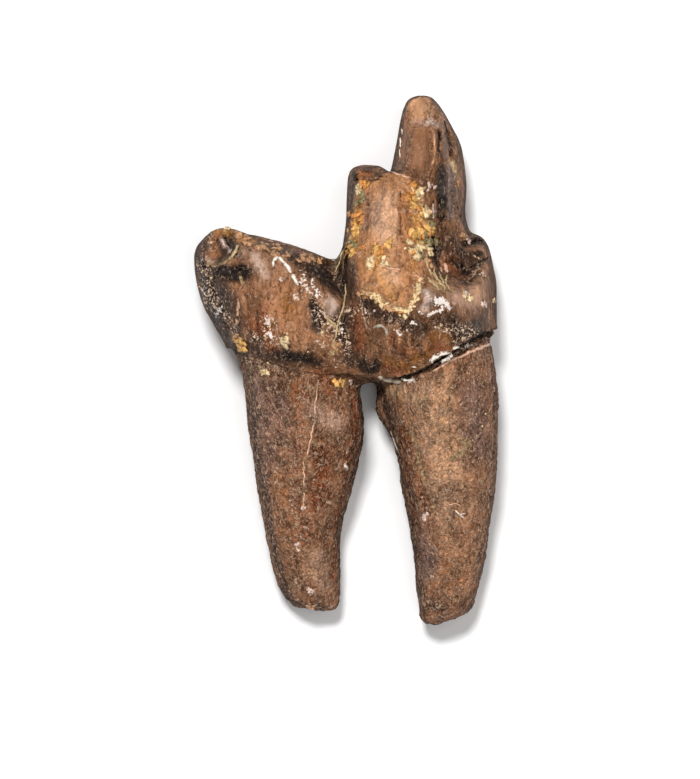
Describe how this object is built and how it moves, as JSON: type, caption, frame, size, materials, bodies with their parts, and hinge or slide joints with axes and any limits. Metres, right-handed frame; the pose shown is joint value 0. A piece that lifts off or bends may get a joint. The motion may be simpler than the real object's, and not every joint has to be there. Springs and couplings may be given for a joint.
{
  "type": "fossil mammal molar",
  "caption": "Two-rooted fossil lower molar lying on its side: a tall cusp, a broken cusp, a low basined heel and long tapering roots.",
  "frame": {"origin": "centre of the tooth's box at its base, on the surface that it rests on", "axes": "+Y from the root tips to the tall cusp, +X from the heel to the front of the tooth, +Z from the resting side up to the cheek side"},
  "size_m": [0.0072, 0.0126, 0.0047],
  "materials": {
    "fossil_tooth": "satin"
  },
  "bodies": {
    "root": {"molar": "fossil_tooth"}
  },
  "joints": []
}
